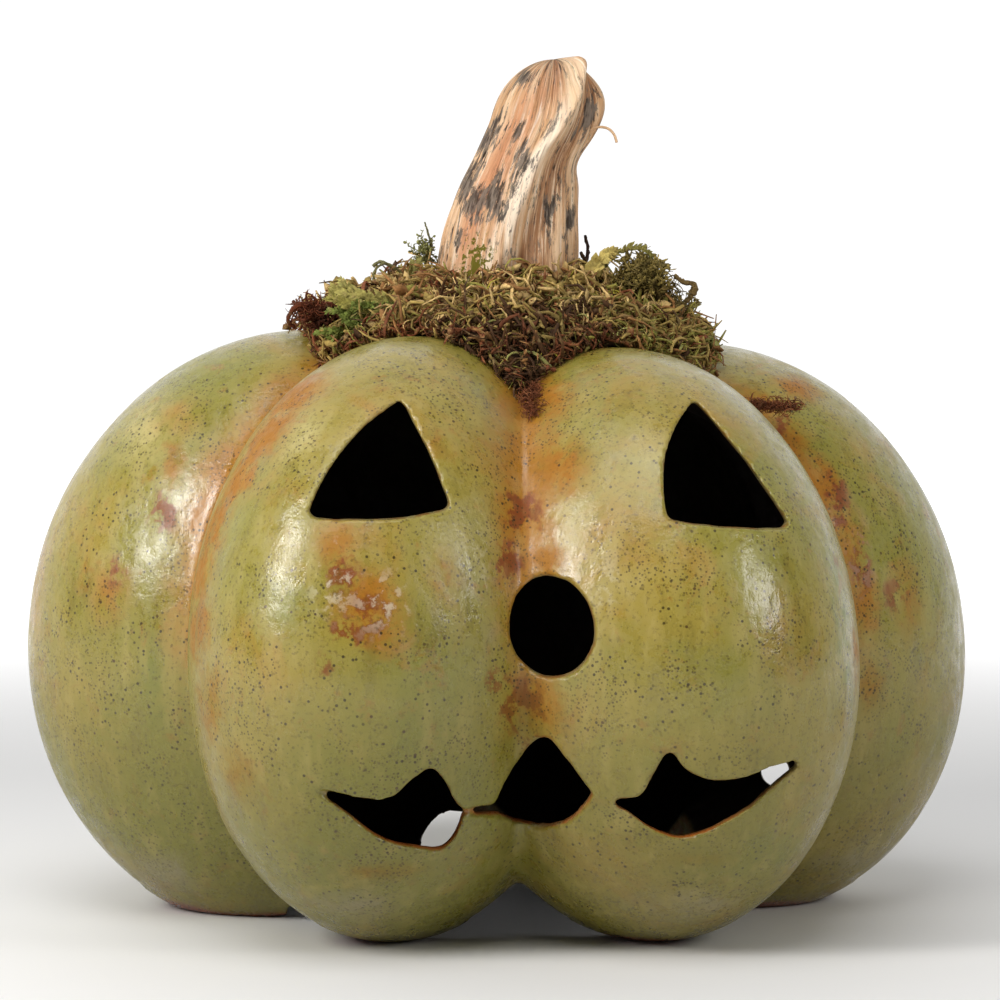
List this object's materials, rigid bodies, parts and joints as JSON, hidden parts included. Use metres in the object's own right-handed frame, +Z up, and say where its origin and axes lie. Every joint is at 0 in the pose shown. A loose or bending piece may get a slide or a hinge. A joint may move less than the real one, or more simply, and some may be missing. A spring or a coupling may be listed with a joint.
{
  "type": "ceramic pumpkin lantern",
  "caption": "Hollow glazed ceramic pumpkin lantern with a carved face, open underside and a lift-off lid that carries a dried stem and a bed of moss.",
  "frame": {"origin": "on the ground plane under the middle of the bounding box", "axes": "+Z up, carved face looks along -Y, +X to the viewer's right"},
  "size_m": [0.282, 0.257, 0.2535],
  "materials": {
    "glaze": "glossy olive glaze with dark specks, ochre wash in the grooves",
    "dried_stem": "dry ribbed pumpkin stem, pale cream with pinkish streaks and dark mould",
    "glue": "clear hot glue gone cloudy",
    "moss": "dry preserved moss, matted strands",
    "moss_crumbs": "dry red-brown crumbs of moss",
    "sprig_green": "dry grey-green leafy moss sprig",
    "sprig_brown": "dry curled red-brown sprig",
    "twig": "thin dry twig"
  },
  "bodies": {
    "pumpkin": {"ceramic_body": "glaze", "moss_crumbs_front": "moss_crumbs", "moss_crumbs_right": "moss_crumbs"},
    "lid": {"ceramic_lid": "glaze", "stem_glue": "glue", "stem": "dried_stem", "moss_tuft_front": "moss", "moss_tuft_right": "moss", "moss_tuft_back": "moss", "moss_tuft_left": "moss", "fern_sprig_left": "sprig_green", "curled_sprig_left": "sprig_brown", "hooked_twig_left": "twig", "upright_twig_left": "twig", "dark_twig_right": "twig", "looped_sprig_right": "sprig_green", "forked_twig_right": "twig"}
  },
  "joints": [
    {"name": "lift_lid", "type": "slide", "parent": "pumpkin", "child": "lid", "axis": [0, 0, 1], "range_m": [0, 0.1]}
  ]
}
